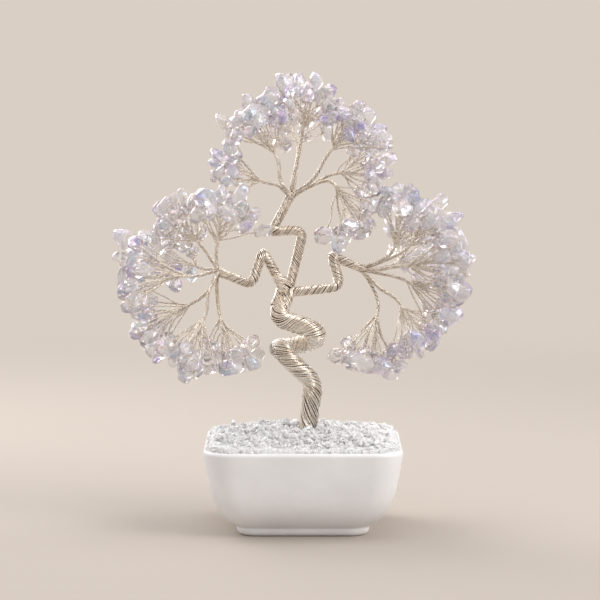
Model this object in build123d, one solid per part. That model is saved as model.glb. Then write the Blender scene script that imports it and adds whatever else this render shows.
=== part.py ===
from build123d import *
import itertools
import math
import os
import random
from collections import namedtuple

import numpy as np

os.makedirs("parts", exist_ok=True)

# A gemstone tree: a square ceramic pot filled with plaster and crystal gravel, a curling trunk
# of twisted wire, three wire limbs that each turn a tight curl, and sprigs of thin twigs with a
# tumbled opalite chip on the end of every twig. Lengths are in millimetres, angles in degrees.

# Pot
POT_WIDTH = 85.0
POT_HEIGHT = 37.5
POT_CORNER_RADIUS = 13.0
POT_WALL = 3.2
POT_FLOOR = 5.5
CAVITY_FLOOR_WIDTH = 50.0
RIM_EDGE_RADIUS = 1.45
FOOT_WIDTH = 56.6
FOOT_HEIGHT = 3.8
FOOT_EDGE_RADIUS = 2.7
# Height and width of the bowl's sections, as shares of the pot's height and width.
BOWL_SECTION_SHARES = [(0.10, 0.675), (0.187, 0.77), (0.32, 0.857), (0.49, 0.916), (0.765, 0.968), (1.0, 1.0)]
CAVITY_SECTION_SHARES = BOWL_SECTION_SHARES[2:]

# Plaster mound and gravel
PLASTER_GAP = 0.2
PLASTER_DROP = 3.4
MOUND_RISE = 5.4
MOUND_TOP_WIDTH = 22.0
ROOT_DEPTH = 22.0
ROOT_GAP = 0.15
BED_INSET = 0.8
GRAVEL_PITCH = 4.7
GRAVEL_HEIGHT = 7.6
GRAVEL_GAP = 0.1

# Tree
TREE_RISE = 160.0
TRUNK_RADIUS = 4.1
LIMB_RADIUS = 2.1
LIMB_COLLAR = 3.0
LIMB_SLOT_GAP = 0.08
STEM_RADIUS = 0.6
STEM_COLLAR = 1.6
STEM_GAP = 0.05
FLARE_RADIUS = 1.4
FLARE_LENGTH = 2.4
TWIG_RADIUS = 0.25
TWIG_COLLAR = 1.2
TWIG_GAP = 0.2
CHIP_LENGTH = 11.2
CHIP_WIDTH = 8.6
CHIP_THICKNESS = 6.6
CHIP_GAP = 0.35
LIMB_CHIP_GAP = 3.0

GOLDEN_TURN = math.pi * (3 - math.sqrt(5))
FLATNESS_SHARE = 1e-6
TUBE_SIDES = 6
TWIG_SIDES = 3
GROWTH_TRIES = 70
SWERVE_SHARE = 0.55

# Corners of the trunk's centre line, in shares of the tree's rise from the pot's rim, and the
# radius of the bend at each inner corner in the same shares.
TRUNK_CORNER_SHARES = [
    (0.015, 0.0, 0.06),
    (0.031, -0.026, 0.158),
    (-0.066, -0.047, 0.253),
    (-0.065, 0.050, 0.243),
    (0.0375, 0.050, 0.264),
    (0.0375, -0.047, 0.304),
    (-0.072, -0.036, 0.335),
]
TRUNK_BEND_SHARES = [0.100, 0.055, 0.041, 0.041, 0.041, 0.041, 0.038]
TRUNK_END_SHARES = (-0.050, -0.014, 0.387)

# A limb's corners run from the top of its collar to its end; the curl takes in two of them.
Limb = namedtuple("Limb", "name slot_degrees corner_shares bend_shares curl_corner")
LIMBS = [
    Limb(
        "left", 200,
        [
            (-0.058, -0.014, 0.424), (-0.105, -0.008, 0.508), (-0.110, -0.037, 0.506),
            (-0.137, -0.033, 0.424), (-0.219, -0.013, 0.454),
        ],
        [0.030, 0.040, 0.0145, 0.0145, 0.022], 2,
    ),
    Limb(
        "right", 320,
        [(0.102, -0.015, 0.417), (0.078, -0.014, 0.499), (0.079, 0.016, 0.497), (0.152, 0.012, 0.467)],
        [0.016, 0.024, 0.0145, 0.0145], 2,
    ),
    Limb(
        "crown", 80,
        [(0.003, 0.006, 0.571), (-0.081, -0.010, 0.565), (-0.082, 0.020, 0.566), (-0.0375, 0.006, 0.651)],
        [0.040, 0.024, 0.0145, 0.0145], 2,
    ),
]
# How far from the outer corners, in shares of the neighbouring straight run, a curl begins and ends.
CURL_RUN_SHARE = 0.35

# A sprig's junction and the bends of its stem are in shares of the tree's rise. Its twigs fan
# about the aim (0 to the right, 90 up) leaning to the back by the lean, and reach about a share
# of the rise; the fan is an oval, so many degrees wide and so many deep.
Sprig = namedtuple("Sprig", "limb name junction_shares via_shares aim lean reach_share fan depth twigs")
SPRIGS = [
    Sprig("left", "upper", (-0.228, -0.038, 0.539), (), 76, -12, 0.105, 60, 38, 18),
    Sprig("left", "upper_outer", (-0.281, 0.025, 0.532), (), 132, 12, 0.108, 50, 38, 18),
    Sprig("left", "outer", (-0.312, -0.012, 0.446), (), 173, -8, 0.155, 38, 36, 20),
    Sprig("left", "lower_outer", (-0.306, 0.025, 0.366), ((-0.250, 0.010, 0.406),), 206, 10, 0.135, 38, 38, 18),
    Sprig("left", "lower", (-0.266, -0.038, 0.334), ((-0.256, -0.047, 0.406),), 244, -10, 0.118, 42, 38, 17),
    Sprig("left", "inner", (-0.224, 0.0, 0.339), ((-0.232, 0.002, 0.398),), 281, 0, 0.130, 36, 38, 15),
    Sprig("left", "back", (-0.290, 0.081, 0.466), (), 152, 48, 0.110, 60, 44, 13),
    Sprig("right", "upper", (0.244, -0.031, 0.522), (), 70, -10, 0.132, 40, 36, 18),
    Sprig("right", "upper_outer", (0.284, 0.025, 0.521), (), 46, 12, 0.110, 46, 38, 17),
    Sprig("right", "outer", (0.274, -0.012, 0.473), ((0.199, 0.002, 0.460),), 4, -8, 0.140, 38, 36, 19),
    Sprig("right", "lower_outer", (0.280, 0.031, 0.429), ((0.199, 0.018, 0.452),), 334, 10, 0.132, 40, 38, 18),
    Sprig("right", "lower", (0.263, -0.019, 0.368), ((0.207, -0.006, 0.408),), 302, -10, 0.112, 46, 38, 18),
    Sprig("right", "inner", (0.199, 0.0, 0.337), ((0.197, 0.006, 0.396),), 256, 0, 0.132, 44, 38, 17),
    Sprig("right", "back", (0.255, 0.088, 0.476), (), 30, 48, 0.105, 60, 44, 13),
    Sprig("crown", "top", (0.0, 0.008, 0.843), (), 86, -6, 0.104, 62, 38, 19),
    Sprig("crown", "upper_left", (-0.075, -0.019, 0.774), ((-0.064, -0.006, 0.700),), 120, -10, 0.126, 42, 38, 18),
    Sprig("crown", "left", (-0.108, 0.031, 0.697), ((-0.067, 0.012, 0.690),), 166, 10, 0.112, 42, 38, 17),
    Sprig("crown", "upper_right", (0.078, -0.025, 0.788), ((0.030, -0.004, 0.702),), 50, -10, 0.106, 50, 38, 20),
    Sprig("crown", "right", (0.096, 0.019, 0.721), ((0.030, 0.010, 0.694),), 8, 8, 0.108, 44, 38, 19),
    Sprig("crown", "lower_right", (0.088, -0.025, 0.688), ((0.025, -0.018, 0.691),), 308, -6, 0.136, 50, 40, 20),
    Sprig("crown", "back", (-0.014, 0.088, 0.791), (), 95, 48, 0.108, 62, 44, 13),
]


def placed(shares):
    """Point of the tree, from shares of its rise above the middle of the pot's rim."""
    return np.array(shares) * TREE_RISE + np.array((0.0, 0.0, POT_HEIGHT))


def unit(vector):
    return vector / np.linalg.norm(vector)


def across(axis):
    """Two unit vectors square to an axis and to each other, the first as near +X as can be."""
    guide = np.array((1.0, 0.0, 0.0)) if abs(axis[0]) < 0.9 else np.array((0.0, 0.0, 1.0))
    east = unit(guide - axis * (guide @ axis))
    return east, np.cross(axis, east)


def rounded_route(points, radii):
    """Edges of a polyline whose inner corners are rounded, and points along it."""
    edges = []
    samples = []
    start = points[0]
    for before, corner, after, radius in zip(points, points[1:], points[2:], radii):
        inward, outward = unit(before - corner), unit(after - corner)
        half = math.acos(float(np.clip(inward @ outward, -1, 1))) / 2
        run = radius / math.tan(half)
        first, last = corner + inward * run, corner + outward * run
        middle = corner + unit(inward + outward) * radius * (1 / math.sin(half) - 1)
        edges.append(Line(tuple(start), tuple(first)))
        edges.append(ThreePointArc(tuple(first), tuple(middle), tuple(last)))
        start = last
    edges.append(Line(tuple(start), tuple(points[-1])))
    for edge in edges:
        samples += [np.array(tuple(edge @ share)) for share in np.linspace(0, 1, 9)[1:]]
    return edges, np.array(samples)


def round_tube(points, radii, radius):
    """Round bar swept along a rounded route, with the points it was measured on."""
    edges, samples = rounded_route(points, radii)
    heading = points[1] - points[0]
    section = Plane(origin=tuple(points[0]), z_dir=tuple(heading)) * Circle(radius)
    return sweep(section, path=Wire(edges)), samples


def loops_solid(points, loops):
    """Solid inside flat faces given as loops of corner numbers."""
    corners = [Vector(*point) for point in points]
    faces = [Face(Wire.make_polygon([corners[i] for i in loop])) for loop in loops]
    return Solid(Shell(faces))


def mitred_tube(points, radius, sides, end_radius=None):
    """Many-sided bar along a polyline, mitred at the bends; its last run may flare."""
    axis = unit(points[1] - points[0])
    east, north = across(axis)
    turns = [2 * math.pi * k / sides for k in range(sides)]
    rings = [[points[0] + (east * math.cos(t) + north * math.sin(t)) * radius for t in turns]]
    for i in range(1, len(points)):
        heading = unit(points[i] - points[i - 1])
        last = i == len(points) - 1
        cut = heading if last else unit(heading + unit(points[i + 1] - points[i]))
        ring = [p + heading * (((points[i] - p) @ cut) / (heading @ cut)) for p in rings[-1]]
        if last and end_radius:
            ring = [points[i] + unit(p - points[i]) * end_radius for p in ring]
        rings.append(ring)
    corners = [p for ring in rings for p in ring]
    loops = [list(range(sides))[::-1], [len(corners) - sides + k for k in range(sides)]]
    for i in range(len(rings) - 1):
        for k in range(sides):
            a, b = i * sides + k, i * sides + (k + 1) % sides
            loops.append([a, b, b + sides, a + sides])
    return loops_solid(corners, loops)


class Stone:
    """Convex stone: the hull of a few points, with its seat at the origin facing down."""

    def __init__(self, points):
        self.points = np.array(points)
        self.loops, self.normals = [], []
        slack = FLATNESS_SHARE * np.ptp(self.points)
        p, q, r = self.points[np.array(list(itertools.combinations(range(len(points)), 3))).T]
        normals = np.cross(q - p, r - p)
        normals /= np.linalg.norm(normals, axis=1, keepdims=True)
        heights = np.einsum("tk,ntk->tn", normals, self.points[:, None] - p)
        sides = np.where(heights.max(axis=1) > slack, -1, 1)
        outer = np.flatnonzero((heights * sides[:, None]).max(axis=1) <= slack)
        flats = {tuple(np.flatnonzero(abs(heights[t]) <= slack)): normals[t] * sides[t] for t in outer}
        for members, normal in flats.items():
            middle = self.points[list(members)].mean(axis=0)
            east = unit(self.points[members[0]] - middle)
            north = np.cross(normal, east)
            spokes = {i: self.points[i] - middle for i in members}
            self.loops.append(sorted(members, key=lambda i: math.atan2(spokes[i] @ north, spokes[i] @ east)))
            self.normals.append(normal)
        self.normals = np.array(self.normals)

    def moved(self, seat, axis, turn, scale=1.0):
        """The stone at a scale, seated at a point with its own Z along an axis."""
        east, north = across(axis)
        x = east * math.cos(turn) + north * math.sin(turn)
        frame = np.array((x, np.cross(axis, x), axis))
        copy = object.__new__(Stone)
        copy.points = self.points * scale @ frame + seat
        copy.normals = self.normals @ frame
        copy.loops = self.loops
        copy.centre = copy.points.mean(axis=0)
        copy.reach = np.linalg.norm(copy.points - copy.centre, axis=1).max()
        copy.faces = np.array([copy.points[loop[0]] @ n for loop, n in zip(copy.loops, copy.normals)])
        return copy

    def clears(self, other, gap):
        """Whether a plane with a gap on it parts two stones."""
        if np.linalg.norm(self.centre - other.centre) > self.reach + other.reach + gap:
            return True
        axes = np.vstack((self.normals, other.normals, unit(other.centre - self.centre)))
        mine, theirs = self.points @ axes.T, other.points @ axes.T
        parted = np.maximum(theirs.min(axis=0) - mine.max(axis=0), mine.min(axis=0) - theirs.max(axis=0))
        return parted.max() > gap

    def misses(self, points, gap):
        """Whether points along a wire all stay a gap outside the stone."""
        near = points[np.linalg.norm(points - self.centre, axis=1) < self.reach + gap]
        return len(near) == 0 or (near @ self.normals.T - self.faces).max(axis=1).min() > gap

    def solid(self):
        return loops_solid(self.points, self.loops)


def pebble(dice, length, width, thickness, rings):
    """Tumbled stone of a few flats, wider than thick; rings give level, corners and jitter."""
    points = []
    start = dice.random() * 2 * math.pi
    for level, corners, jitter in rings:
        for k in range(corners):
            turn = start + 2 * math.pi * (k + dice.uniform(-0.22, 0.22)) / corners
            height = level + dice.uniform(-jitter, jitter)
            girth = math.sqrt(1 - height * height)
            points.append((girth * math.cos(turn) / 2, girth * math.sin(turn) / 2, height / 2))
        start += math.pi / 4
    floor = min(p[2] for p in points)
    return Stone([(x * length, y * width, (z - floor) * thickness) for x, y, z in points])


def stretch(points, step):
    """Points at most a step apart along a polyline."""
    rows = []
    for a, b in zip(points, points[1:]):
        count = max(2, math.ceil(np.linalg.norm(b - a) / step) + 1)
        rows += [a + (b - a) * share for share in np.linspace(0, 1, count)]
    return np.array(rows)


def least_gap(points, others):
    """Least distance between two sets of points along wires."""
    return np.linalg.norm(points[:, None] - others[None], axis=2).min()


def rounded_square(width, height):
    corner = POT_CORNER_RADIUS * width / POT_WIDTH
    return Plane.XY.offset(height) * RectangleRounded(width, width, corner)


def bowl(shrink, floor, floor_width, shares):
    """Loft through the pot's sections, each drawn in by the shrink on every side."""
    sections = [rounded_square(floor_width, floor)]
    sections += [rounded_square(w * POT_WIDTH - 2 * shrink, h * POT_HEIGHT) for h, w in shares]
    return loft(sections)


def room(sprig, owner, near):
    """Gap that a sprig keeps from another piece: wider where that is on another limb."""
    limb = owner if isinstance(owner, str) else owner.limb
    return near if limb == sprig.limb else LIMB_CHIP_GAP


def saved(node, shape):
    export_step(shape, f"parts/{node}.step")


def saved_group(node, solids):
    saved(node, Compound(children=solids))


# The pot: a bowl on a foot band, hollowed, with a soft lip.
foot = extrude(rounded_square(FOOT_WIDTH, 0), FOOT_HEIGHT + RIM_EDGE_RADIUS)
foot = fillet(foot.faces().sort_by(Axis.Z)[0].edges(), FOOT_EDGE_RADIUS)
shell_height, shell_width = BOWL_SECTION_SHARES[0]
body = bowl(0, shell_height * POT_HEIGHT, shell_width * POT_WIDTH, BOWL_SECTION_SHARES[1:])
cavity = bowl(POT_WALL, POT_FLOOR, CAVITY_FLOOR_WIDTH, CAVITY_SECTION_SHARES)
pot = foot + body - cavity
lip = pot.faces().sort_by(Axis.Z)[-1]
pot = fillet(lip.edges(), RIM_EDGE_RADIUS)
saved("ceramic_pot", pot)

# The plaster: fills the bowl and rises to a low mound with a bore for the trunk's foot.
plaster_top = POT_HEIGHT - PLASTER_DROP
mound_top = plaster_top + MOUND_RISE
mound = loft([
    Plane.XY.offset(plaster_top) * Rectangle(POT_WIDTH, POT_WIDTH),
    Plane.XY.offset(mound_top) * Rectangle(MOUND_TOP_WIDTH, MOUND_TOP_WIDTH),
])
below = Pos(0, 0, plaster_top / 2) * Box(POT_WIDTH, POT_WIDTH, plaster_top)
filling = bowl(POT_WALL + PLASTER_GAP, POT_FLOOR, CAVITY_FLOOR_WIDTH - 2 * PLASTER_GAP, CAVITY_SECTION_SHARES)
filling += extrude(rounded_square(POT_WIDTH - 2 * (POT_WALL + PLASTER_GAP), POT_HEIGHT), MOUND_RISE)
foot_point = placed(TRUNK_CORNER_SHARES[0])
root_point = np.array((foot_point[0], foot_point[1], mound_top - ROOT_DEPTH))
bore = extrude(Plane.XY.offset(root_point[2]) * Pos(*root_point[:2]) * Circle(TRUNK_RADIUS + ROOT_GAP), ROOT_DEPTH)
saved("plaster_fill", filling & (below + mound) - bore)

# The gravel: broken crystals standing on the mound, clear of the wall and the trunk.
dice = random.Random(11)
gravel = []
slope = math.atan2(2 * MOUND_RISE, POT_WIDTH - MOUND_TOP_WIDTH)
bed_width = POT_WIDTH - 2 * (POT_WALL + BED_INSET)
bed_corner = POT_CORNER_RADIUS * bed_width / POT_WIDTH
cells = math.ceil(bed_width / GRAVEL_PITCH)
for row, column in itertools.product(range(cells), range(cells)):
    for attempt in range(GROWTH_TRIES // 4):
        x = (column + 0.5 + dice.uniform(-0.3, 0.3)) * GRAVEL_PITCH - bed_width / 2
        y = (row + 0.5 + dice.uniform(-0.3, 0.3)) * GRAVEL_PITCH - bed_width / 2
        size = GRAVEL_PITCH * dice.uniform(0.95, 1.35) * (1 - attempt / GROWTH_TRIES)
        crystal = pebble(dice, size, size, GRAVEL_HEIGHT * dice.uniform(0.8, 1.25), [(-0.62, 4, 0), (0.5, 4, 0.2)])
        out = max(abs(x), abs(y)) - MOUND_TOP_WIDTH / 2
        tilt = slope if out > 0 else 0.0
        away = np.array((np.sign(x), 0, 0)) if abs(x) > abs(y) else np.array((0, np.sign(y), 0))
        axis = away * math.sin(tilt) + np.array((0, 0, math.cos(tilt)))
        seat = np.array((x, y, mound_top - max(out, 0) * math.tan(slope)))
        crystal = crystal.moved(seat, axis, dice.uniform(0, math.pi))
        spread = np.abs(crystal.points[:, :2]) - (bed_width / 2 - bed_corner)
        if np.linalg.norm(np.maximum(spread, 0), axis=1).max() > bed_corner:
            continue
        if np.linalg.norm(crystal.points[:, :2] - foot_point[:2], axis=1).min() < TRUNK_RADIUS + 2 * GRAVEL_GAP:
            continue
        if all(crystal.clears(other, GRAVEL_GAP) for other in gravel):
            gravel.append(crystal)
            break
saved_group("crystal_gravel", [crystal.solid() for crystal in gravel])

# The trunk: one unbroken bundle from the plaster through its curl to the limbs.
trunk_points = [root_point] + [placed(s) for s in TRUNK_CORNER_SHARES] + [placed(TRUNK_END_SHARES)]
trunk, trunk_line = round_tube(trunk_points, [s * TREE_RISE for s in TRUNK_BEND_SHARES], TRUNK_RADIUS)
saved("trunk_bundle", trunk)

# The limbs: three bundles side by side on the trunk's end, each in root, curl and arm.
trunk_axis = unit(trunk_points[-1] - trunk_points[-2])
trunk_east, trunk_north = across(trunk_axis)
slot_radius = (2 * LIMB_RADIUS + LIMB_SLOT_GAP) / math.sqrt(3)
limb_lines = {"trunk": trunk_line}
arm_ends = {}
for limb in LIMBS:
    turn = math.radians(limb.slot_degrees)
    slot = trunk_points[-1] + (trunk_east * math.cos(turn) + trunk_north * math.sin(turn)) * slot_radius
    route = [slot, slot + trunk_axis * LIMB_COLLAR] + [placed(s) for s in limb.corner_shares]
    radii = [s * TREE_RISE for s in limb.bend_shares]
    k = limb.curl_corner + 1
    opening = route[k] + (route[k - 1] - route[k]) * CURL_RUN_SHARE
    closing = route[k + 1] + (route[k + 2] - route[k + 1]) * CURL_RUN_SHARE
    root, root_line = round_tube(route[:k] + [opening], radii[:k - 1], LIMB_RADIUS)
    curl, curl_line = round_tube([opening, route[k], route[k + 1], closing], radii[k - 1:k + 1], LIMB_RADIUS)
    arm, arm_line = round_tube([closing] + route[k + 2:], radii[k + 1:], LIMB_RADIUS)
    saved(f"{limb.name}_root", root)
    saved(f"{limb.name}_curl", curl)
    saved(f"{limb.name}_arm", arm)
    limb_lines[limb.name] = np.vstack((root_line, curl_line, arm_line))
    arm_ends[limb.name] = (route[-1], unit(route[-1] - (route[-2] if len(route) > k + 3 else closing)))
    print(limb.name, "hinge at", np.round((route[k] + route[k + 1]) / 2, 2), "arm end", np.round(route[-1], 2))
for one, two in itertools.combinations(limb_lines, 2):
    print("least centre gap", one, two, round(least_gap(limb_lines[one], limb_lines[two]), 2))

# The stems: seven leave each arm's end, the one nearest the arm's own line in the middle.
stems = {}
for limb in LIMBS:
    end, axis = arm_ends[limb.name]
    east, north = across(axis)
    family = [s for s in SPRIGS if s.limb == limb.name]
    family.sort(key=lambda s: -unit(placed(s.junction_shares) - end) @ axis)
    slots = {family[0]: np.zeros(3)}
    ways = {s: placed((s.via_shares + (s.junction_shares,))[0]) - end for s in family[1:]}
    ring = sorted(ways, key=lambda s: math.atan2(ways[s] @ north, ways[s] @ east))
    step = 2 * math.pi / len(ring)
    lags = [math.atan2(ways[s] @ north, ways[s] @ east) - k * step for k, s in enumerate(ring)]
    offset = math.atan2(sum(math.sin(lag) for lag in lags), sum(math.cos(lag) for lag in lags))
    for k, sprig in enumerate(ring):
        turn = offset + k * step
        slots[sprig] = (east * math.cos(turn) + north * math.sin(turn)) * (2 * STEM_RADIUS + STEM_GAP)
    for sprig in family:
        a, b = math.radians(sprig.aim), math.radians(sprig.lean)
        aim = np.array((math.cos(a) * math.cos(b), math.sin(b), math.sin(a) * math.cos(b)))
        junction = placed(sprig.junction_shares)
        ahead = 1 + max(0.0, unit(junction - end) @ axis)
        points = [end + slots[sprig], end + slots[sprig] + axis * STEM_COLLAR * ahead]
        points += [placed(via) for via in sprig.via_shares]
        points += [junction - aim * (FLARE_LENGTH + STEM_COLLAR), junction - aim * FLARE_LENGTH, junction]
        stems[sprig] = (points, aim)
for one, two in itertools.combinations(stems, 2):
    gap = least_gap(stretch(stems[one][0], STEM_RADIUS), stretch(stems[two][0], STEM_RADIUS))
    if gap < 2 * STEM_RADIUS:
        print("stems meet", one.limb, one.name, two.limb, two.name, round(gap, 2))

# The sprigs: twigs fan from each junction, and a chip is seated square on every twig's end.
chips, wires = [], []
for limb_name, line in limb_lines.items():
    wires.append((limb_name, line, TRUNK_RADIUS if limb_name == "trunk" else LIMB_RADIUS))
for sprig, (points, aim) in stems.items():
    wires.append((sprig, stretch(points, STEM_RADIUS), STEM_RADIUS))
for number, (sprig, (stem_points, aim)) in enumerate(stems.items()):
    dice = random.Random(100 + number)
    junction = stem_points[-1]
    side = unit(np.cross(aim, np.array((0.0, 1.0, 0.0))))
    deep = np.cross(side, aim)
    solids = [mitred_tube(stem_points, STEM_RADIUS, TUBE_SIDES, FLARE_RADIUS)]
    stones = []
    for k in range(sprig.twigs):
        spin = k * GOLDEN_TURN
        spread = math.sqrt((k + 0.5) / sprig.twigs)
        start = junction + (side * math.cos(spin) + deep * math.sin(spin)) * spread * (FLARE_RADIUS - 2 * TWIG_RADIUS)
        bend = start + aim * TWIG_COLLAR * (2 - spread)
        for attempt in range(GROWTH_TRIES):
            loose = attempt / GROWTH_TRIES
            u = (spread * math.cos(spin) + dice.uniform(-loose, loose) * SWERVE_SHARE) * math.radians(sprig.fan)
            v = (spread * math.sin(spin) + dice.uniform(-loose, loose) * SWERVE_SHARE) * math.radians(sprig.depth)
            way = unit(aim * math.cos(u) * math.cos(v) + side * math.sin(u) + deep * math.sin(v))
            reach = sprig.reach_share * TREE_RISE * dice.uniform(0.66 - 0.2 * loose, 1.0)
            seat = bend + way * reach
            sizes = [CHIP_LENGTH, CHIP_WIDTH, CHIP_THICKNESS]
            dice.shuffle(sizes)
            rings = [(-0.72, 4, 0), (0.0, 5, 0.2), (0.72, 3, 0.12)]
            chip = pebble(dice, *[s * dice.uniform(0.85, 1.12) for s in sizes], rings)
            chip = chip.moved(seat, way, dice.uniform(0, math.pi), dice.uniform(0.72, 1.16) - 0.2 * loose)
            twig = stretch([start, bend, seat], 2 * TWIG_RADIUS)
            if not all(chip.clears(c, room(sprig, owner, CHIP_GAP)) for owner, c in chips):
                continue
            if not all(chip.misses(line, radius + room(sprig, owner, CHIP_GAP)) for owner, line, radius in wires):
                continue
            if not all(c.misses(twig, TWIG_RADIUS + room(sprig, owner, TWIG_GAP)) for owner, c in chips):
                continue
            strangers = [(line, radius + room(sprig, o, TWIG_GAP)) for o, line, radius in wires if o != sprig]
            if not all(least_gap(twig, line) > apart + TWIG_RADIUS for line, apart in strangers):
                continue
            chips.append((sprig.limb, chip))
            wires.append((sprig, twig, TWIG_RADIUS))
            solids.append(mitred_tube([start, bend, seat], TWIG_RADIUS, TWIG_SIDES))
            stones.append(chip.solid())
            break
    saved_group(f"{sprig.limb}_{sprig.name}_wires", solids)
    saved_group(f"{sprig.limb}_{sprig.name}_chips", stones)
    print(sprig.limb, sprig.name, "chips", len(stones), "of", sprig.twigs)
print("gravel", len(gravel), "chips", len(chips))
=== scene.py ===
import math
import random
from typing import NamedTuple

import bmesh
import bpy
import numpy as np
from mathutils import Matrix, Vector, noise


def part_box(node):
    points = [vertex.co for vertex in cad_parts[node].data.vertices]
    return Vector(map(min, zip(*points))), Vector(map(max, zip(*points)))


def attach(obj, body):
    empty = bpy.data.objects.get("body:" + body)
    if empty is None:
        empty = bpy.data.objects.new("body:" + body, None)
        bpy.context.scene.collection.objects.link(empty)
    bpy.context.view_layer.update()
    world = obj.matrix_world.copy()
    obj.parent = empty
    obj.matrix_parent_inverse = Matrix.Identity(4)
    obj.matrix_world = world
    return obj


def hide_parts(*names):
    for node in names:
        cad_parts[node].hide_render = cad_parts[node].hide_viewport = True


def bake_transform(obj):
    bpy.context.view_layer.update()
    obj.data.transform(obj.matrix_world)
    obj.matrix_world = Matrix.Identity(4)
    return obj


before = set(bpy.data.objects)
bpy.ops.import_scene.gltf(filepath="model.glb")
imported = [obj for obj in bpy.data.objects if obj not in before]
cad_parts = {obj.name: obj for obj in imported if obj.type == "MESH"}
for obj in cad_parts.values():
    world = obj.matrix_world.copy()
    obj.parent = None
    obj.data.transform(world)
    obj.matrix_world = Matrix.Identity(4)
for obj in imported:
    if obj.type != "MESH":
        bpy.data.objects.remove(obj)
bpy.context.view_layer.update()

# Everything is in metres, in the CAD frame: +Z up, the camera on -Y.
MM = 0.001

# Camera of the photograph: 600 px wide frame, focal length in those pixels.
CAMERA_AT = (-0.00129, -1.2, 0.2088)
CAMERA_DOWN = 5.26
FOCAL_PX = 2796.0
FRAME_PX = 600.0
SENSOR = 36.0

# The routes repeat the part's own, in shares of the tree's rise above the pot's rim.
POT_HEIGHT = 37.5 * MM
TREE_RISE = 160.0 * MM
TRUNK_RADIUS = 4.1 * MM
LIMB_RADIUS = 2.1 * MM
LIMB_COLLAR = 3.0 * MM
LIMB_SLOT_GAP = 0.08 * MM
SLOT_RADIUS = (2 * LIMB_RADIUS + LIMB_SLOT_GAP) / math.sqrt(3)
TRUNK_SHARES = [
    (0.015, 0.0, -0.06), (0.015, 0.0, 0.06), (0.031, -0.026, 0.158), (-0.066, -0.047, 0.253),
    (-0.065, 0.050, 0.243), (0.0375, 0.050, 0.264), (0.0375, -0.047, 0.304), (-0.072, -0.036, 0.335),
    (-0.050, -0.014, 0.387),
]
TRUNK_BEND_SHARES = [0.100, 0.055, 0.041, 0.041, 0.041, 0.041, 0.038]
# Each limb: where it leaves the trunk's end in degrees, its corners, and the bends at its inner corners.
LIMB_SHARES = {
    "left": (
        200,
        [
            (-0.058, -0.014, 0.424), (-0.105, -0.008, 0.508), (-0.110, -0.037, 0.506),
            (-0.137, -0.033, 0.424), (-0.219, -0.013, 0.454),
        ],
        [0.030, 0.040, 0.0145, 0.0145, 0.022],
    ),
    "right": (
        320,
        [(0.102, -0.015, 0.417), (0.078, -0.014, 0.499), (0.079, 0.016, 0.497), (0.152, 0.012, 0.467)],
        [0.016, 0.024, 0.0145, 0.0145],
    ),
    "crown": (
        80,
        [(0.003, 0.006, 0.571), (-0.081, -0.010, 0.565), (-0.082, 0.020, 0.566), (-0.0375, 0.006, 0.651)],
        [0.040, 0.024, 0.0145, 0.0145],
    ),
}
# The sleeve at the fork: its heights in metres, how far it leans to the crown limb at each,
# and how many points of a limb's line lie near it.
SLEEVE_HEIGHTS = [0.1005, 0.1035, 0.1080]
SLEEVE_CROWN_SHARES = [0.5, 0.40, 0.0]
SLEEVE_TOP = 0.1100
FORK_POINTS = 70
# Spacing of the points along the lines, and how often a line is smoothed.
TRUNK_STEP = 0.45 * MM
LIMB_STEP = 0.33 * MM
STEM_STEP = 0.4 * MM
ROUTE_PASSES = 8
SLEEVE_PASSES = 6
# Lengths in which the strands go once round; the trunk's tighten upwards.
TRUNK_PITCHES = [62 * MM, 46 * MM, 22 * MM, 14 * MM, 17 * MM]
SLEEVE_PITCH = 26 * MM
LIMB_PITCH = 10 * MM
STEM_PITCH = 6 * MM
SUB_STEM_PITCH = 3.2 * MM
# Core strands lie under the bright ones; their dark brown is painted shade for the gaps between the bright
# strands.
CORE_SHADE_TONES = (0.0, 0.12)
STEM_CORE_SHADE_TONES = (0.0, 0.3)
STRAND_TONES = (0.5, 1.0)
FULL_TURN = 6.28
# Seeds of the random draws.
TRUNK_SEED = 3
SPRIG_SEED = 500
GRAVEL_SEED = 77
# Chips grow from the first scale in steps until they meet a neighbour.
STONE_SCALE = 1.09
STONE_SCALE_MOST = 1.32
STONE_STEP = 0.035
STONE_LUMPS = 0.09
STONE_ROOM = 1.04
STONE_ROUNDING = 12
STONE_NEIGHBOUR = 15 * MM
OTHER_LIMB_ROOM = 17 * MM
# Twigs: pairs of wires; step, twist and sway in millimetres.
TWIG_GROUPS = 4
TWIG_STEP = 0.26
TWIG_TWIST = 2.4
TWIG_SWAY = 1.1
TWIG_WIRE = 0.195 * MM
TWIG_OFFSET = 0.19
# One wire of each twisted pair is painted darker, as painted shade in the twist; the other keeps the bright
# silver.
TWIG_TONES = {1: (0.95, 1.0), -1: (0.4, 0.66)}
# A thin stem carries each group of twigs and thickens with their number.
SUB_STEM_WIRE = 0.18 * MM
SUB_STEM_GIRTH = 0.36 * MM
SUB_STEM_GROWTH = 0.03 * MM
WIRE_OFF_STONE = 0.12 * MM
# Gravel in millimetres: shards on each crystal, shards along the rim and the crushed bed.
SHARD_SIZE = 2.2
SHARD_LIFT = 0.3
SMALL_SHARDS = 6
SMALL_SHARD_SIZES = (0.7, 1.4)
SMALL_SHARD_DEPTHS = (0.5, 2.2)
RIM_SHARDS = 260
RIM_SHARD_SIZES = (0.7, 1.3)
RIM_SHARD_LIFTS = (-0.3, 0.6)
RIM_INSETS = (1.6, 4.4)
RIM_CORNER = 12.5
BED_CELLS = 120
BED_INSET = 1.9
BED_CORNER = 12.2
BED_NEIGHBOURS = 5
BED_BLUR = 2
BED_RISE = 0.7
BED_DROPS = (0.9, 2.0)
BED_BORDER_DROP = 1.2
BED_JITTER = 0.25
BED_UNDERSIDE = 2.4
SPRIGS = sorted(n.removesuffix("_wires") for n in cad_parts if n.endswith("_wires"))


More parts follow.
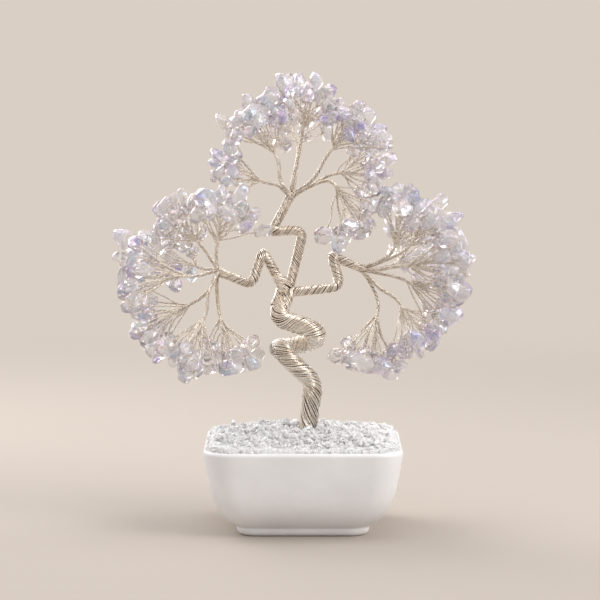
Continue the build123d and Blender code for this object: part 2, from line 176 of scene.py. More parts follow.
class Layer(NamedTuple):
    """Strands at one depth of a bundle, with shares of the bundle's girth and pitch."""

    girth_share: float
    strands: int
    wire: float
    pitch_share: float = 1.0
    ragged: float = 0.06
    tones: tuple = STRAND_TONES


TRUNK_LAYERS = [
    Layer(0.86, 24, 0.40 * MM, tones=CORE_SHADE_TONES),
    Layer(1.0, 26, 0.26 * MM),
    Layer(1.03, 7, 0.17 * MM, pitch_share=0.96),
]
SLEEVE_LAYERS = [Layer(0.84, 18, 0.34 * MM, tones=CORE_SHADE_TONES), Layer(1.0, 20, 0.27 * MM, ragged=0.1)]
LIMB_LAYERS = [
    Layer(0.82, 13, 0.36 * MM, tones=CORE_SHADE_TONES),
    Layer(1.0, 12, 0.24 * MM),
    Layer(1.03, 4, 0.14 * MM, pitch_share=0.96),
]
STEM_LAYERS = [Layer(0.7, 4, 0.28 * MM, tones=STEM_CORE_SHADE_TONES), Layer(1.0, 7, 0.20 * MM, ragged=0.12)]


def unit(v):
    return v / np.linalg.norm(v)


def placed(shares):
    return np.array(shares) * TREE_RISE + np.array((0.0, 0.0, POT_HEIGHT))


def across(axis):
    """Two unit vectors square to an axis, the first as near +X as can be."""
    guide = np.array((1.0, 0.0, 0.0)) if abs(axis[0]) < 0.9 else np.array((0.0, 0.0, 1.0))
    east = unit(guide - axis * (guide @ axis))
    return east, np.cross(axis, east)


def smooth_route(points, step):
    """Evenly spaced points on the quadratic spline that the corners steer."""
    rows = [points[0]]
    start = points[0]
    for k in range(1, len(points) - 1):
        end = points[-1] if k == len(points) - 2 else (points[k] + points[k + 1]) / 2
        for t in np.linspace(0, 1, 40)[1:]:
            rows.append((1 - t) ** 2 * start + 2 * t * (1 - t) * points[k] + t * t * end)
        start = end
    return evenly(np.array(rows), step)


def bent_route(points, bends, step):
    """Evenly spaced points on straight runs with a bend of the given radius at each inner corner."""
    rows = [points[0]]
    for before, corner, after, radius in zip(points, points[1:], points[2:], bends):
        back, on = unit(before - corner), unit(after - corner)
        reach = radius / math.tan(math.acos(np.clip(back @ on, -1, 1)) / 2)
        reach = min(reach, np.linalg.norm(before - corner) * 0.5, np.linalg.norm(after - corner) * 0.5)
        for t in np.linspace(0, 1, 12):
            rows.append(corner + back * reach * (1 - t) ** 2 + on * reach * t * t)
    return smoothed(evenly(np.array(rows + [points[-1]]), step), ROUTE_PASSES)


def smoothed(line, passes):
    """The line with each inner point drawn towards its neighbours, once a pass."""
    for _ in range(passes):
        line[1:-1] = (line[:-2] + 2 * line[1:-1] + line[2:]) / 4
    return line


def evenly(line, step):
    lengths = np.concatenate(([0], np.cumsum(np.linalg.norm(np.diff(line, axis=0), axis=1))))
    count = max(3, int(round(lengths[-1] / step)) + 1)
    at = np.linspace(0, lengths[-1], count)
    return np.column_stack([np.interp(at, lengths, line[:, i]) for i in range(3)])


def frames_along(line):
    """Unit tangents, normals and binormals along a line; the normals don't spin about it."""
    tangents = np.gradient(line, axis=0)
    tangents /= np.linalg.norm(tangents, axis=1, keepdims=True)
    normal, _ = across(tangents[0])
    normals = []
    for t in tangents:
        normal = unit(normal - t * (normal @ t))
        normals.append(normal)
    normals = np.array(normals)
    return tangents, normals, np.cross(tangents, normals)


def new_object(name, verts, faces, material, smooth=True, values=None):
    """Mesh object from arrays; values are named floats for each vertex."""
    mesh = bpy.data.meshes.new(name)
    mesh.from_pydata(np.asarray(verts).tolist(), [], [list(map(int, f)) for f in faces])
    mesh.polygons.foreach_set("use_smooth", [smooth] * len(mesh.polygons))
    for key, column in (values or {}).items():
        attribute = mesh.attributes.new(key, "FLOAT", "POINT")
        attribute.data.foreach_set("value", np.asarray(column, np.float32))
    mesh.materials.append(material)
    mesh.update()
    obj = bpy.data.objects.new(name, mesh)
    bpy.context.scene.collection.objects.link(obj)
    return obj


class Wires:
    """Collects round wires into one mesh."""

    def __init__(self, sides=5):
        self.sides = sides
        self.verts, self.faces, self.tones = [], [], []
        self.count = 0

    def add(self, line, radius, tone, outward=None):
        """One wire along a line; outward gives rough sideways vectors that fix its ring."""
        tangents = np.gradient(line, axis=0)
        tangents /= np.maximum(np.linalg.norm(tangents, axis=1, keepdims=True), 1e-12)
        if outward is None:
            _, outward, _ = frames_along(line)
        flat = np.cross(tangents, outward)
        flat /= np.maximum(np.linalg.norm(flat, axis=1, keepdims=True), 1e-12)
        up = np.cross(flat, tangents)
        turns = np.arange(self.sides) * 2 * math.pi / self.sides
        radii = np.broadcast_to(np.asarray(radius, float), (len(line),))
        ring = up[:, None] * np.cos(turns)[None, :, None] + flat[:, None] * np.sin(turns)[None, :, None]
        verts = (line[:, None] + ring * radii[:, None, None]).reshape(-1, 3)
        base = self.count
        n, k = len(line), self.sides
        a = base + np.arange(n - 1)[:, None] * k + np.arange(k)[None]
        b = base + np.arange(n - 1)[:, None] * k + (np.arange(k)[None] + 1) % k
        quads = np.stack((a, b, b + k, a + k), axis=-1).reshape(-1, 4)
        self.verts.append(verts)
        self.faces += quads.tolist()
        self.faces.append([base + i for i in range(k)][::-1])
        self.faces.append([base + (n - 1) * k + i for i in range(k)])
        self.tones.append(np.full(len(verts), tone))
        self.count += len(verts)

    def bundle(self, line, girth, pitch, layers, dice):
        """Layers of strands round a line; girth and pitch may vary along it."""
        for layer in layers:
            self.strands(line, girth * layer.girth_share, pitch * layer.pitch_share, layer, dice)

    def strands(self, line, radius, pitch, layer, dice):
        """One layer of strands laid left-handed round a line."""
        _, normals, binormals = frames_along(line)
        steps = np.linalg.norm(np.diff(line, axis=0), axis=1)
        pitch = np.broadcast_to(np.asarray(pitch, float), (len(line),))
        lay = np.concatenate(([0], np.cumsum(steps * 2 / (pitch[1:] + pitch[:-1]))))
        radius = np.broadcast_to(np.asarray(radius, float), (len(line),)) - layer.wire
        for s in range(layer.strands):
            wander = layer.ragged * radius * np.sin(lay * dice.uniform(5, 12) + dice.uniform(0, FULL_TURN))
            lead = 2 * math.pi * (s + dice.uniform(-0.22, 0.22)) / layer.strands
            swing = dice.uniform(-0.12, 0.12)
            swing = swing * np.sin(lay * dice.uniform(4, 10) + dice.uniform(0, FULL_TURN))
            turn = lead + swing - 2 * math.pi * lay
            out = normals * np.cos(turn)[:, None] + binormals * np.sin(turn)[:, None]
            thick = layer.wire * dice.uniform(0.85, 1.1)
            self.add(line + out * (radius - abs(wander))[:, None], thick, dice.uniform(*layer.tones), out)

    def piece(self, name, material):
        verts = np.vstack(self.verts)
        return new_object(name, verts, self.faces, material, values={"tone": np.concatenate(self.tones)})


def islands(node):
    """Loose solids of a CAD node: the corner points and triangles of each."""
    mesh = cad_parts[node].data
    mesh.calc_loop_triangles()
    co = np.empty(len(mesh.vertices) * 3)
    mesh.vertices.foreach_get("co", co)
    tri = np.empty(len(mesh.loop_triangles) * 3, np.int32)
    mesh.loop_triangles.foreach_get("vertices", tri)
    points, index = np.unique(np.round(co.reshape(-1, 3), 7), axis=0, return_inverse=True)
    tri = index.reshape(-1)[tri].reshape(-1, 3)
    parent = list(range(len(points)))

    def root(i):
        while parent[i] != i:
            parent[i] = parent[parent[i]]
            i = parent[i]
        return i

    for a, b, c in tri:
        parent[root(a)] = root(b)
        parent[root(b)] = root(c)
    labels = np.array([root(i) for i in range(len(points))])
    found = []
    for label in sorted(set(labels), key=lambda l: tuple(points[labels == l].mean(axis=0).round(6))):
        members = np.flatnonzero(labels == label)
        remap = {int(m): i for i, m in enumerate(members)}
        mine = tri[labels[tri[:, 0]] == label]
        found.append((points[members], np.array([[remap[int(v)] for v in t] for t in mine])))
    return found


def peeled(points, tri, first):
    """Centres of a tube's rings, from the ring that the first corners make to its other end."""
    links = {i: set() for i in range(len(points))}
    for t in tri:
        for i in t:
            links[int(i)].update(int(j) for j in t)
    ring, seen, centres = set(first), set(first), []
    while ring:
        centres.append(points[sorted(ring)].mean(axis=0))
        ring = set().union(*(links[i] for i in ring)) - seen
        seen |= ring
    return centres


# Materials

def material(name):
    mat = bpy.data.materials.new(name)
    mat.use_nodes = True
    nodes, links = mat.node_tree.nodes, mat.node_tree.links
    return mat, nodes, links, nodes["Principled BSDF"]


def ramp(nodes, stops):
    node = nodes.new("ShaderNodeValToRGB")
    while len(node.color_ramp.elements) < len(stops):
        node.color_ramp.elements.new(0.5)
    for element, (at, colour) in zip(node.color_ramp.elements, stops):
        element.position = at
        element.color = (*colour, 1)
    return node


def noise_node(nodes, links, scale, detail=3.0, roughness=0.5):
    place = nodes.new("ShaderNodeTexCoord")
    node = nodes.new("ShaderNodeTexNoise")
    node.inputs["Scale"].default_value = scale
    node.inputs["Detail"].default_value = detail
    node.inputs["Roughness"].default_value = roughness
    links.new(place.outputs["Object"], node.inputs["Vector"])
    return node


def vertex_value(nodes, name):
    node = nodes.new("ShaderNodeAttribute")
    node.attribute_name = name
    return node


def bump(nodes, links, shader, height, strength, distance):
    node = nodes.new("ShaderNodeBump")
    node.inputs["Strength"].default_value = strength
    node.inputs["Distance"].default_value = distance
    links.new(height, node.inputs["Height"])
    links.new(node.outputs["Normal"], shader.inputs["Normal"])


def ceramic_material():
    mat, nodes, links, shader = material("white_ceramic")
    grain = noise_node(nodes, links, 60.0, 4.0)
    tint = ramp(nodes, [(0.3, (0.80, 0.79, 0.79)), (0.7, (0.86, 0.853, 0.853))])
    links.new(grain.outputs["Fac"], tint.inputs["Fac"])
    links.new(tint.outputs["Color"], shader.inputs["Base Color"])
    shader.inputs["Roughness"].default_value = 0.42
    shader.inputs["Coat Weight"].default_value = 0.25
    shader.inputs["Coat Roughness"].default_value = 0.3
    pits = noise_node(nodes, links, 420.0, 3.0)
    bump(nodes, links, shader, pits.outputs["Fac"], 0.12, 0.0003)
    return mat


def plaster_material():
    mat, nodes, links, shader = material("plaster")
    grain = noise_node(nodes, links, 300.0, 5.0)
    tint = ramp(nodes, [(0.3, (0.80, 0.79, 0.775)), (0.7, (0.90, 0.89, 0.88))])
    links.new(grain.outputs["Fac"], tint.inputs["Fac"])
    links.new(tint.outputs["Color"], shader.inputs["Base Color"])
    shader.inputs["Roughness"].default_value = 0.9
    bump(nodes, links, shader, grain.outputs["Fac"], 0.4, 0.0005)
    return mat


def wire_material():
    mat, nodes, links, shader = material("silver_wire")
    tone = vertex_value(nodes, "tone")
    # Low tones give dark brown painted shade, taken by the core strands and, less dark, by one wire of each
    # twig pair; high tones are the wire's own silver.
    tint = ramp(nodes, [
        (0.0, (0.24, 0.145, 0.08)), (0.2, (0.42, 0.295, 0.19)),
        (0.45, (0.76, 0.66, 0.54)), (1.0, (0.985, 0.96, 0.92)),
    ])
    links.new(tone.outputs["Fac"], tint.inputs["Fac"])
    links.new(tint.outputs["Color"], shader.inputs["Base Color"])
    shader.inputs["Metallic"].default_value = 0.85
    scuff = noise_node(nodes, links, 900.0, 2.0)
    rough = nodes.new("ShaderNodeMapRange")
    rough.inputs["To Min"].default_value = 0.20
    rough.inputs["To Max"].default_value = 0.36
    links.new(scuff.outputs["Fac"], rough.inputs["Value"])
    links.new(rough.outputs["Result"], shader.inputs["Roughness"])
    return mat


def opal_material():
    mat, nodes, links, shader = material("opalite")
    tone = vertex_value(nodes, "tone")
    warm = vertex_value(nodes, "warm")
    cloud = noise_node(nodes, links, 170.0, 1.5)
    mixed = nodes.new("ShaderNodeMath")
    mixed.operation = "MULTIPLY_ADD"
    mixed.inputs[1].default_value = 0.75
    links.new(cloud.outputs["Fac"], mixed.inputs[0])
    share = nodes.new("ShaderNodeMath")
    share.operation = "MULTIPLY"
    share.inputs[1].default_value = 0.35
    links.new(tone.outputs["Fac"], share.inputs[0])
    links.new(share.outputs["Value"], mixed.inputs[2])
    body = ramp(nodes, [
        (0.34, (0.995, 0.99, 0.985)), (0.63, (0.985, 0.98, 0.99)),
        (0.73, (0.86, 0.84, 0.98)), (0.82, (0.46, 0.39, 0.84)),
    ])
    links.new(mixed.outputs["Value"], body.inputs["Fac"])
    patch = noise_node(nodes, links, 95.0, 1.0)
    amount = nodes.new("ShaderNodeMapRange")
    amount.inputs["From Min"].default_value = 0.58
    amount.inputs["From Max"].default_value = 0.72
    amount.inputs["To Max"].default_value = 0.6
    links.new(patch.outputs["Fac"], amount.inputs["Value"])
    sky = nodes.new("ShaderNodeMix")
    sky.data_type = "RGBA"
    sky.inputs["B"].default_value = (0.58, 0.77, 1.0, 1)
    links.new(amount.outputs["Result"], sky.inputs["Factor"])
    links.new(body.outputs["Color"], sky.inputs["A"])
    blush = nodes.new("ShaderNodeMix")
    blush.data_type = "RGBA"
    blush.inputs["B"].default_value = (1.0, 0.93, 0.87, 1)
    links.new(warm.outputs["Fac"], blush.inputs["Factor"])
    links.new(sky.outputs["Result"], blush.inputs["A"])
    links.new(blush.outputs["Result"], shader.inputs["Base Color"])
    shader.inputs["Roughness"].default_value = 0.13
    shader.inputs["IOR"].default_value = 1.42
    shader.inputs["Coat Weight"].default_value = 0.9
    shader.inputs["Coat Roughness"].default_value = 0.04
    shader.inputs["Coat IOR"].default_value = 1.6
    milk = vertex_value(nodes, "milk")
    clear = nodes.new("ShaderNodeMapRange")
    clear.inputs["To Min"].default_value = 0.92
    clear.inputs["To Max"].default_value = 0.69
    links.new(milk.outputs["Fac"], clear.inputs["Value"])
    links.new(clear.outputs["Result"], shader.inputs["Transmission Weight"])
    shader.inputs["Thin Film Thickness"].default_value = 380.0
    shader.inputs["Thin Film IOR"].default_value = 1.6
    shader.inputs["Sheen Weight"].default_value = 0.35
    shader.inputs["Sheen Roughness"].default_value = 0.35
    ripple = noise_node(nodes, links, 260.0, 2.0)
    bump(nodes, links, shader, ripple.outputs["Fac"], 0.10, 0.0004)
    return mat


def quartz_material():
    mat, nodes, links, shader = material("clear_quartz")
    tone = vertex_value(nodes, "tone")
    tint = ramp(nodes, [(0.0, (0.945, 0.925, 0.912)), (1.0, (0.98, 0.968, 0.958))])
    links.new(tone.outputs["Fac"], tint.inputs["Fac"])
    links.new(tint.outputs["Color"], shader.inputs["Base Color"])
    shader.inputs["Roughness"].default_value = 0.14
    shader.inputs["IOR"].default_value = 1.46
    shader.inputs["Transmission Weight"].default_value = 0.2
    shader.inputs["Subsurface Weight"].default_value = 0.7
    shader.inputs["Subsurface Radius"].default_value = (1.0, 1.0, 1.0)
    shader.inputs["Subsurface Scale"].default_value = 0.0015
    veil = noise_node(nodes, links, 500.0, 3.0)
    bump(nodes, links, shader, veil.outputs["Fac"], 0.15, 0.0003)
    return mat


CERAMIC, PLASTER, WIRE, OPAL, QUARTZ = (
    ceramic_material(), plaster_material(), wire_material(), opal_material(), quartz_material()
)
for node, mat in (("ceramic_pot", CERAMIC), ("plaster_fill", PLASTER)):
    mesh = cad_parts[node].data
    mesh.materials.clear()
    mesh.materials.append(mat)

# Trunk and limbs: strands of wire laid round the routes.

trunk_points = [placed(s) for s in TRUNK_SHARES]
trunk_axis = unit(trunk_points[-1] - trunk_points[-2])
trunk_east, trunk_north = across(trunk_axis)
trunk_line = bent_route(trunk_points, [b * TREE_RISE for b in TRUNK_BEND_SHARES], TRUNK_STEP)
dice = random.Random(TRUNK_SEED)
trunk = Wires(6)
along = np.linspace(0, 1, len(trunk_line))
trunk_girth = TRUNK_RADIUS * np.interp(along, [0, 0.12, 0.95, 1.0], [1.08, 1.02, 1.02, 0.85])
trunk_pitch = np.interp(along, [0, 0.16, 0.30, 0.55, 1.0], TRUNK_PITCHES)
trunk.bundle(trunk_line, trunk_girth, trunk_pitch, TRUNK_LAYERS, dice)

limb_lines, arm_ends = {}, {}
for name, (slot_degrees, shares, bends) in LIMB_SHARES.items():
    turn = math.radians(slot_degrees)
    slot = trunk_points[-1] + (trunk_east * math.cos(turn) + trunk_north * math.sin(turn)) * SLOT_RADIUS
    corners = [placed(s) for s in shares]
    route = [slot - trunk_axis * 5 * MM, slot + trunk_axis * LIMB_COLLAR] + corners
    arm_ends[name] = (corners[-1], unit(corners[-1] - corners[-2]))
    limb_lines[name] = bent_route(route, [b * TREE_RISE for b in bends], LIMB_STEP)


def at_height(line, height):
    """The point of a limb's line, near the fork, that lies nearest to a height."""
    return line[np.argmin(abs(line[:FORK_POINTS, 2] - height))]


# The trunk's outer strands run on past its end and thin out along the left limb.
middles = []
for height in np.linspace(SLEEVE_HEIGHTS[0], SLEEVE_TOP, 20):
    left, crown = (at_height(limb_lines[name], height) for name in ("left", "crown"))
    middles.append(left + (crown - left) * np.interp(height, SLEEVE_HEIGHTS, SLEEVE_CROWN_SHARES))
sleeve_line = evenly(np.vstack((trunk_line[-18:-2], np.array(middles))), STEM_STEP)
sleeve_line = smoothed(sleeve_line, SLEEVE_PASSES)
along = np.linspace(0, 1, len(sleeve_line))
sleeve_girth = np.interp(along, [0, 0.3, 0.5, 0.8, 0.93, 1.0], [3.5, 4.2, 4.1, 2.9, 2.3, 1.9]) * MM
trunk.bundle(sleeve_line, sleeve_girth, SLEEVE_PITCH, SLEEVE_LAYERS, dice)
piece = trunk.piece("trunk_wires", WIRE)
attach(piece, "base")
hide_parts("trunk_bundle")

for name, line in limb_lines.items():
    wires = Wires(6)
    girth = LIMB_RADIUS * np.interp(np.linspace(0, 1, len(line)), [0, 0.75, 1.0], [1.06, 1.06, 0.9])
    wires.bundle(line, girth, LIMB_PITCH, LIMB_LAYERS, dice)
    piece = wires.piece(f"{name}_limb_wires", WIRE)
    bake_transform(piece)
    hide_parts(f"{name}_root", f"{name}_curl", f"{name}_arm")

# Chips: tumbled stones rounded from the CAD chips' own flats.

ball = bmesh.new()
bmesh.ops.create_icosphere(ball, subdivisions=4, radius=1.0)
BALL_POINTS = np.array([v.co[:] for v in ball.verts])
BALL_POINTS /= np.linalg.norm(BALL_POINTS, axis=1, keepdims=True)
BALL_FACES = np.array([[v.index for v in f.verts] for f in ball.faces])
COARSE_POINTS = BALL_POINTS[:162]
ball.free()


class Pebble:
    """A rounded stone inside a flat-faced CAD chip."""

    def __init__(self, points, tri, seed):
        self.centre = points.mean(axis=0)
        p, q, r = (points[tri[:, i]] for i in range(3))
        normals = np.cross(q - p, r - p)
        normals /= np.linalg.norm(normals, axis=1, keepdims=True)
        offsets = ((p - self.centre) * normals).sum(axis=1)
        normals[offsets < 0] *= -1
        offsets = abs(offsets)
        kept = np.unique(np.column_stack((normals, offsets * 1000)).round(3), axis=0, return_index=True)[1]
        self.normals, self.offsets = normals[kept], offsets[kept]
        self.seed = Vector((seed * 3.1, seed * 1.7, seed * 2.3))
        self.scale = STONE_SCALE

    def radius(self, ways):
        pull = np.maximum(ways @ self.normals.T, 0) / self.offsets
        return (pull ** STONE_ROUNDING).sum(axis=1) ** (-1 / STONE_ROUNDING) * self.scale

    def surface(self):
        lumps = np.array([noise.noise(Vector(w) * 1.6 + self.seed) for w in BALL_POINTS])
        return self.centre + BALL_POINTS * (self.radius(BALL_POINTS) * (1 + STONE_LUMPS * lumps))[:, None]

    def meets(self, other):
        """Whether the stone's skin, with room for its lumps, reaches inside another's."""
        skin = self.centre + COARSE_POINTS * self.radius(COARSE_POINTS)[:, None] * STONE_ROOM
        away = skin - other.centre
        far = np.linalg.norm(away, axis=1)
        return bool((far < other.radius(away / far[:, None]) * STONE_ROOM).any())


LIMB_PEBBLES = {}
SPRIG_PEBBLES = {}
for number, sprig in enumerate(SPRIGS):
    solids = islands(f"{sprig}_chips")
    SPRIG_PEBBLES[sprig] = [Pebble(p, t, number * 20 + k) for k, (p, t) in enumerate(solids)]
    LIMB_PEBBLES.setdefault(sprig.split("_")[0], []).extend(SPRIG_PEBBLES[sprig])
for limb, pebbles in LIMB_PEBBLES.items():
    centres = np.array([b.centre for b in pebbles])
    others = np.array([b.centre for name, row in LIMB_PEBBLES.items() if name != limb for b in row])
    for k, pebble in enumerate(pebbles):
        gaps = np.linalg.norm(centres - pebble.centre, axis=1)
        near = [pebbles[i] for i in np.flatnonzero(gaps < STONE_NEIGHBOUR) if i != k]
        if np.linalg.norm(others - pebble.centre, axis=1).min() < OTHER_LIMB_ROOM:
            continue
        while pebble.scale < STONE_SCALE_MOST:
            pebble.scale += STONE_STEP
            if any(pebble.meets(b) or b.meets(pebble) for b in near):
                pebble.scale -= STONE_STEP
                break

for number, sprig in enumerate(SPRIGS):
    limb = sprig.split("_")[0]
    dice = random.Random(SPRIG_SEED + number)
    pebbles = SPRIG_PEBBLES[sprig]
    verts, faces, tones, warms, milks = [], [], [], [], []
    for k, pebble in enumerate(pebbles):
        verts.append(pebble.surface())
        faces.append(BALL_FACES + k * len(BALL_POINTS))
        tones.append(np.full(len(BALL_POINTS), dice.random()))
        warms.append(np.full(len(BALL_POINTS), max(0.0, dice.uniform(-0.7, 0.45))))
        milks.append(np.full(len(BALL_POINTS), dice.random()))
    piece = new_object(
        f"{sprig}_stones", np.vstack(verts), np.vstack(faces), OPAL,
        values={"tone": np.concatenate(tones), "warm": np.concatenate(warms), "milk": np.concatenate(milks)},
    )
    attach(piece, f"{limb}_limb")
    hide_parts(f"{sprig}_chips")

    end, axis = arm_ends[limb]
    wires = Wires(4)
    solids = islands(f"{sprig}_wires")
    stem_points, stem_tri = max(solids, key=lambda s: len(s[0]))
    first = np.argsort(abs((stem_points - end) @ axis))[:6]
    rings = peeled(stem_points, stem_tri, [int(i) for i in first])
    junction, aim = rings[-1], unit(rings[-1] - rings[-2])
    stem_line = smooth_route([rings[0] - axis * 3 * MM] + rings[:-2] + [rings[-1]], STEM_STEP)
    girth = np.interp(np.linspace(0, 1, len(stem_line)), [0, 0.15, 0.7, 1], [0.75, 0.95, 0.85, 0.8]) * MM
    wires.bundle(stem_line, girth, STEM_PITCH, STEM_LAYERS, dice)

    # Twigs that end near each other leave the junction as one thin stem.
    twigs = []
    for points, tri in solids:
        if len(points) == len(stem_points):
            continue
        start = points[np.argsort(abs((points - junction) @ aim))[:3]].mean(axis=0)
        seat = points[np.argsort(np.linalg.norm(points - junction, axis=1))[-3:]].mean(axis=0)
        twigs.append((seat, unit(seat - (points.sum(axis=0) - 3 * start - 3 * seat) / 3)))
    ways = np.array([unit(seat - junction) for seat, way in twigs])
    leaders = [int(np.argmax(ways @ aim))]
    while len(leaders) < TWIG_GROUPS:
        leaders.append(int(np.argmin((ways @ ways[leaders].T).max(axis=1))))
    ranks = np.argsort(-(ways @ ways[leaders].T), axis=1)
    family = np.array([rank[1] if dice.random() < 0.2 else rank[0] for rank in ranks])
    family[leaders] = range(TWIG_GROUPS)
    for group in range(TWIG_GROUPS):
        members = [twigs[i] for i in np.flatnonzero(family == group)]
        middle = np.mean([seat for seat, way in members], axis=0) - junction
        reach = dice.uniform(0.22, 0.42) if len(members) > 1 else 0.15
        fork = junction + middle * reach + aim * MM
        sub_route = [junction - aim * 2 * MM, junction + aim * 1.5 * MM, fork, fork + unit(middle) * MM]
        sub_line = smooth_route(sub_route, STEM_STEP)
        sub_girth = SUB_STEM_GIRTH + SUB_STEM_GROWTH * len(members)
        sub_layer = Layer(1.0, 2 + len(members) // 2, SUB_STEM_WIRE)
        wires.bundle(sub_line, sub_girth, SUB_STEM_PITCH, [sub_layer], dice)
        for seat, way in members:
            stone = min(pebbles, key=lambda b: np.linalg.norm(b.centre - seat))
            side, other = across(way)
            spin = dice.uniform(0, FULL_TURN)
            side = side * math.cos(spin) + other * math.sin(spin)
            sway = np.cross(way, side) * dice.uniform(-TWIG_SWAY, TWIG_SWAY) * MM
            leave = sub_line[int(dice.uniform(0.12, 0.97) * len(sub_line))]
            reach = seat - leave
            route = [leave - unit(middle) * 1.2 * MM, leave + unit(middle) * 0.6 * MM]
            route += [leave + reach * 0.35 + sway, leave + reach * 0.7 - sway * 0.8]
            route += [seat - way * 0.8 * MM, seat]
            line = smooth_route(route, TWIG_STEP * MM)
            tangents, normals, binormals = frames_along(line)
            turn = -np.arange(len(line)) * TWIG_STEP / TWIG_TWIST * 2 * math.pi + dice.uniform(0, FULL_TURN)
            out = normals * np.cos(turn)[:, None] + binormals * np.sin(turn)[:, None]
            down = unit(seat - stone.centre)
            # The second wire of the pair takes the darker tones, painted shade for the twist.
            for sign, brightness in TWIG_TONES.items():
                bends = np.linspace(0.12, 1.45, 9)
                flank = unit(side * sign - down * ((side * sign) @ down))
                ways_up = np.cos(bends)[:, None] * down + np.sin(bends)[:, None] * flank
                hug = stone.centre + ways_up * (stone.radius(ways_up) + WIRE_OFF_STONE)[:, None]
                inner = np.linalg.norm(hug[-1] - stone.centre) * np.array([0.8, 0.4, 0.0])
                hole = stone.centre + flank * inner[:, None]
                tone = dice.uniform(*brightness)
                wires.add(np.vstack((line + out * sign * TWIG_OFFSET * MM, hug, hole)), TWIG_WIRE, tone)
    piece = wires.piece(f"{sprig}_twigs", WIRE)
    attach(piece, f"{limb}_limb")
    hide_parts(f"{sprig}_wires")

# Gravel: every CAD crystal becomes a shard with smaller ones on it.

core = bmesh.new()
bmesh.ops.create_icosphere(core, subdivisions=1, radius=1.0)
SHARD_POINTS = np.array([v.co[:] for v in core.verts])
SHARD_POINTS /= np.linalg.norm(SHARD_POINTS, axis=1, keepdims=True)
SHARD_FACES = np.array([[v.index for v in f.verts] for f in core.faces])
core.free()
dice = random.Random(GRAVEL_SEED)
verts, faces, tones = [], [], []


def shard(centre, size):
    """A broken crystal: a few corners pushed in and out, longer one way."""
    axis = unit(np.array([dice.gauss(0, 1) for _ in range(3)]))
    jitter = np.array([dice.uniform(0.6, 1.15) for _ in SHARD_POINTS])
    points = SHARD_POINTS * jitter[:, None]
    points = points + np.outer(points @ axis, axis) * dice.uniform(0.1, 0.8)
    flat = unit(np.cross(axis, np.array([dice.gauss(0, 1) for _ in range(3)])))
    points = points - np.outer(points @ flat, flat) * dice.uniform(0.1, 0.5)
    faces.append(SHARD_FACES + len(verts) * len(SHARD_POINTS))
    verts.append(centre + points * size)
    tones.append(np.full(len(SHARD_POINTS), dice.random()))


for points, tri in islands("crystal_gravel"):
    low, high = points.min(axis=0), points.max(axis=0)
    middle = (low + high) / 2
    shard(middle + np.array((0, 0, SHARD_LIFT * MM)), SHARD_SIZE * MM)
    for _ in range(SMALL_SHARDS):
        place = [dice.uniform(low[i], high[i]) for i in range(2)]
        spot = np.array(place + [high[2] - dice.uniform(*SMALL_SHARD_DEPTHS) * MM])
        shard(spot, dice.uniform(*SMALL_SHARD_SIZES) * MM)

# A bed of crushed crystal fills in under the shards.
tops = np.array([p.max(axis=0) for p, t in islands("crystal_gravel")])
rim_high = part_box("ceramic_pot")[1]
bed_half, bed_corner = rim_high[0] - BED_INSET * MM, BED_CORNER * MM
bed_verts = []
for j in range(BED_CELLS + 1):
    for i in range(BED_CELLS + 1):
        x, y = ((2 * v / BED_CELLS - 1) * bed_half for v in (i, j))
        over = np.array([max(0.0, abs(v) - bed_half + bed_corner) for v in (x, y)])
        if np.hypot(*over) > bed_corner:
            pull = over * (1 - bed_corner / np.hypot(*over))
            x, y = x - math.copysign(pull[0], x), y - math.copysign(pull[1], y)
        apart = np.hypot(tops[:, 0] - x, tops[:, 1] - y)
        near = np.argsort(apart)[:BED_NEIGHBOURS]
        weights = 1 / (apart[near] + BED_BLUR * MM) ** 2
        level = max((tops[near, 2] * weights).sum() / weights.sum(), rim_high[2] + BED_RISE * MM)
        drop = dice.uniform(*BED_DROPS) * MM
        if min(i, j, BED_CELLS - i, BED_CELLS - j) == 0:
            level, drop = rim_high[2], BED_BORDER_DROP * MM
        x, y = (v + dice.uniform(-BED_JITTER, BED_JITTER) * MM for v in (x, y))
        bed_verts.append((x, y, level - drop))
bed_faces = []
for j in range(BED_CELLS):
    for i in range(BED_CELLS):
        k = j * (BED_CELLS + 1) + i
        bed_faces += [(k, k + 1, k + BED_CELLS + 2), (k, k + BED_CELLS + 2, k + BED_CELLS + 1)]

# The bed's border drops into the pot's wall and is closed underneath.
row = BED_CELLS + 1
border = [*range(row), *range(2 * row - 1, row * row, row), *range(row * row - 2, row * row - row - 1, -1)]
border += range(row * (row - 2), 0, -row)
under = range(len(bed_verts), len(bed_verts) + len(border))
bed_verts += [(bed_verts[k][0], bed_verts[k][1], rim_high[2] - BED_UNDERSIDE * MM) for k in border]
for k in range(len(border)):
    bed_faces.append((border[k - 1], under[k - 1], under[k], border[k]))
bed_faces.append(under[::-1])

# Shards along the rim hide the bed's border.
for _ in range(RIM_SHARDS):
    side, along, inset = dice.randrange(4), dice.uniform(-1, 1), dice.uniform(*RIM_INSETS) * MM
    half = rim_high[0] - inset
    corner = RIM_CORNER * MM - inset / 2
    spot = np.array((along * half, half))
    if abs(spot[0]) > half - corner:
        spot[1] = half - corner + math.sqrt(max(0.0, corner ** 2 - (abs(spot[0]) - half + corner) ** 2))
    for _ in range(side):
        spot = np.array((-spot[1], spot[0]))
    height = rim_high[2] + dice.uniform(*RIM_SHARD_LIFTS) * MM
    shard(np.array((*spot, height)), dice.uniform(*RIM_SHARD_SIZES) * MM)
bed_tones = {"tone": [dice.random() for _ in bed_verts]}
bed = new_object("gravel_bed", bed_verts, bed_faces, QUARTZ, False, bed_tones)
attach(bed, "base")
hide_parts("crystal_gravel")
shard_tones = {"tone": np.concatenate(tones)}
piece = new_object("gravel_shards", np.vstack(verts), np.vstack(faces), QUARTZ, False, shard_tones)
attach(piece, "base")
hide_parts("crystal_gravel")

# Stage: a wide pale floor that turns into the plain pale backdrop away from the object.

FLOOR = (0.47, 0.415, 0.365, 1)
BACKDROP = (0.70, 0.622, 0.55, 1)


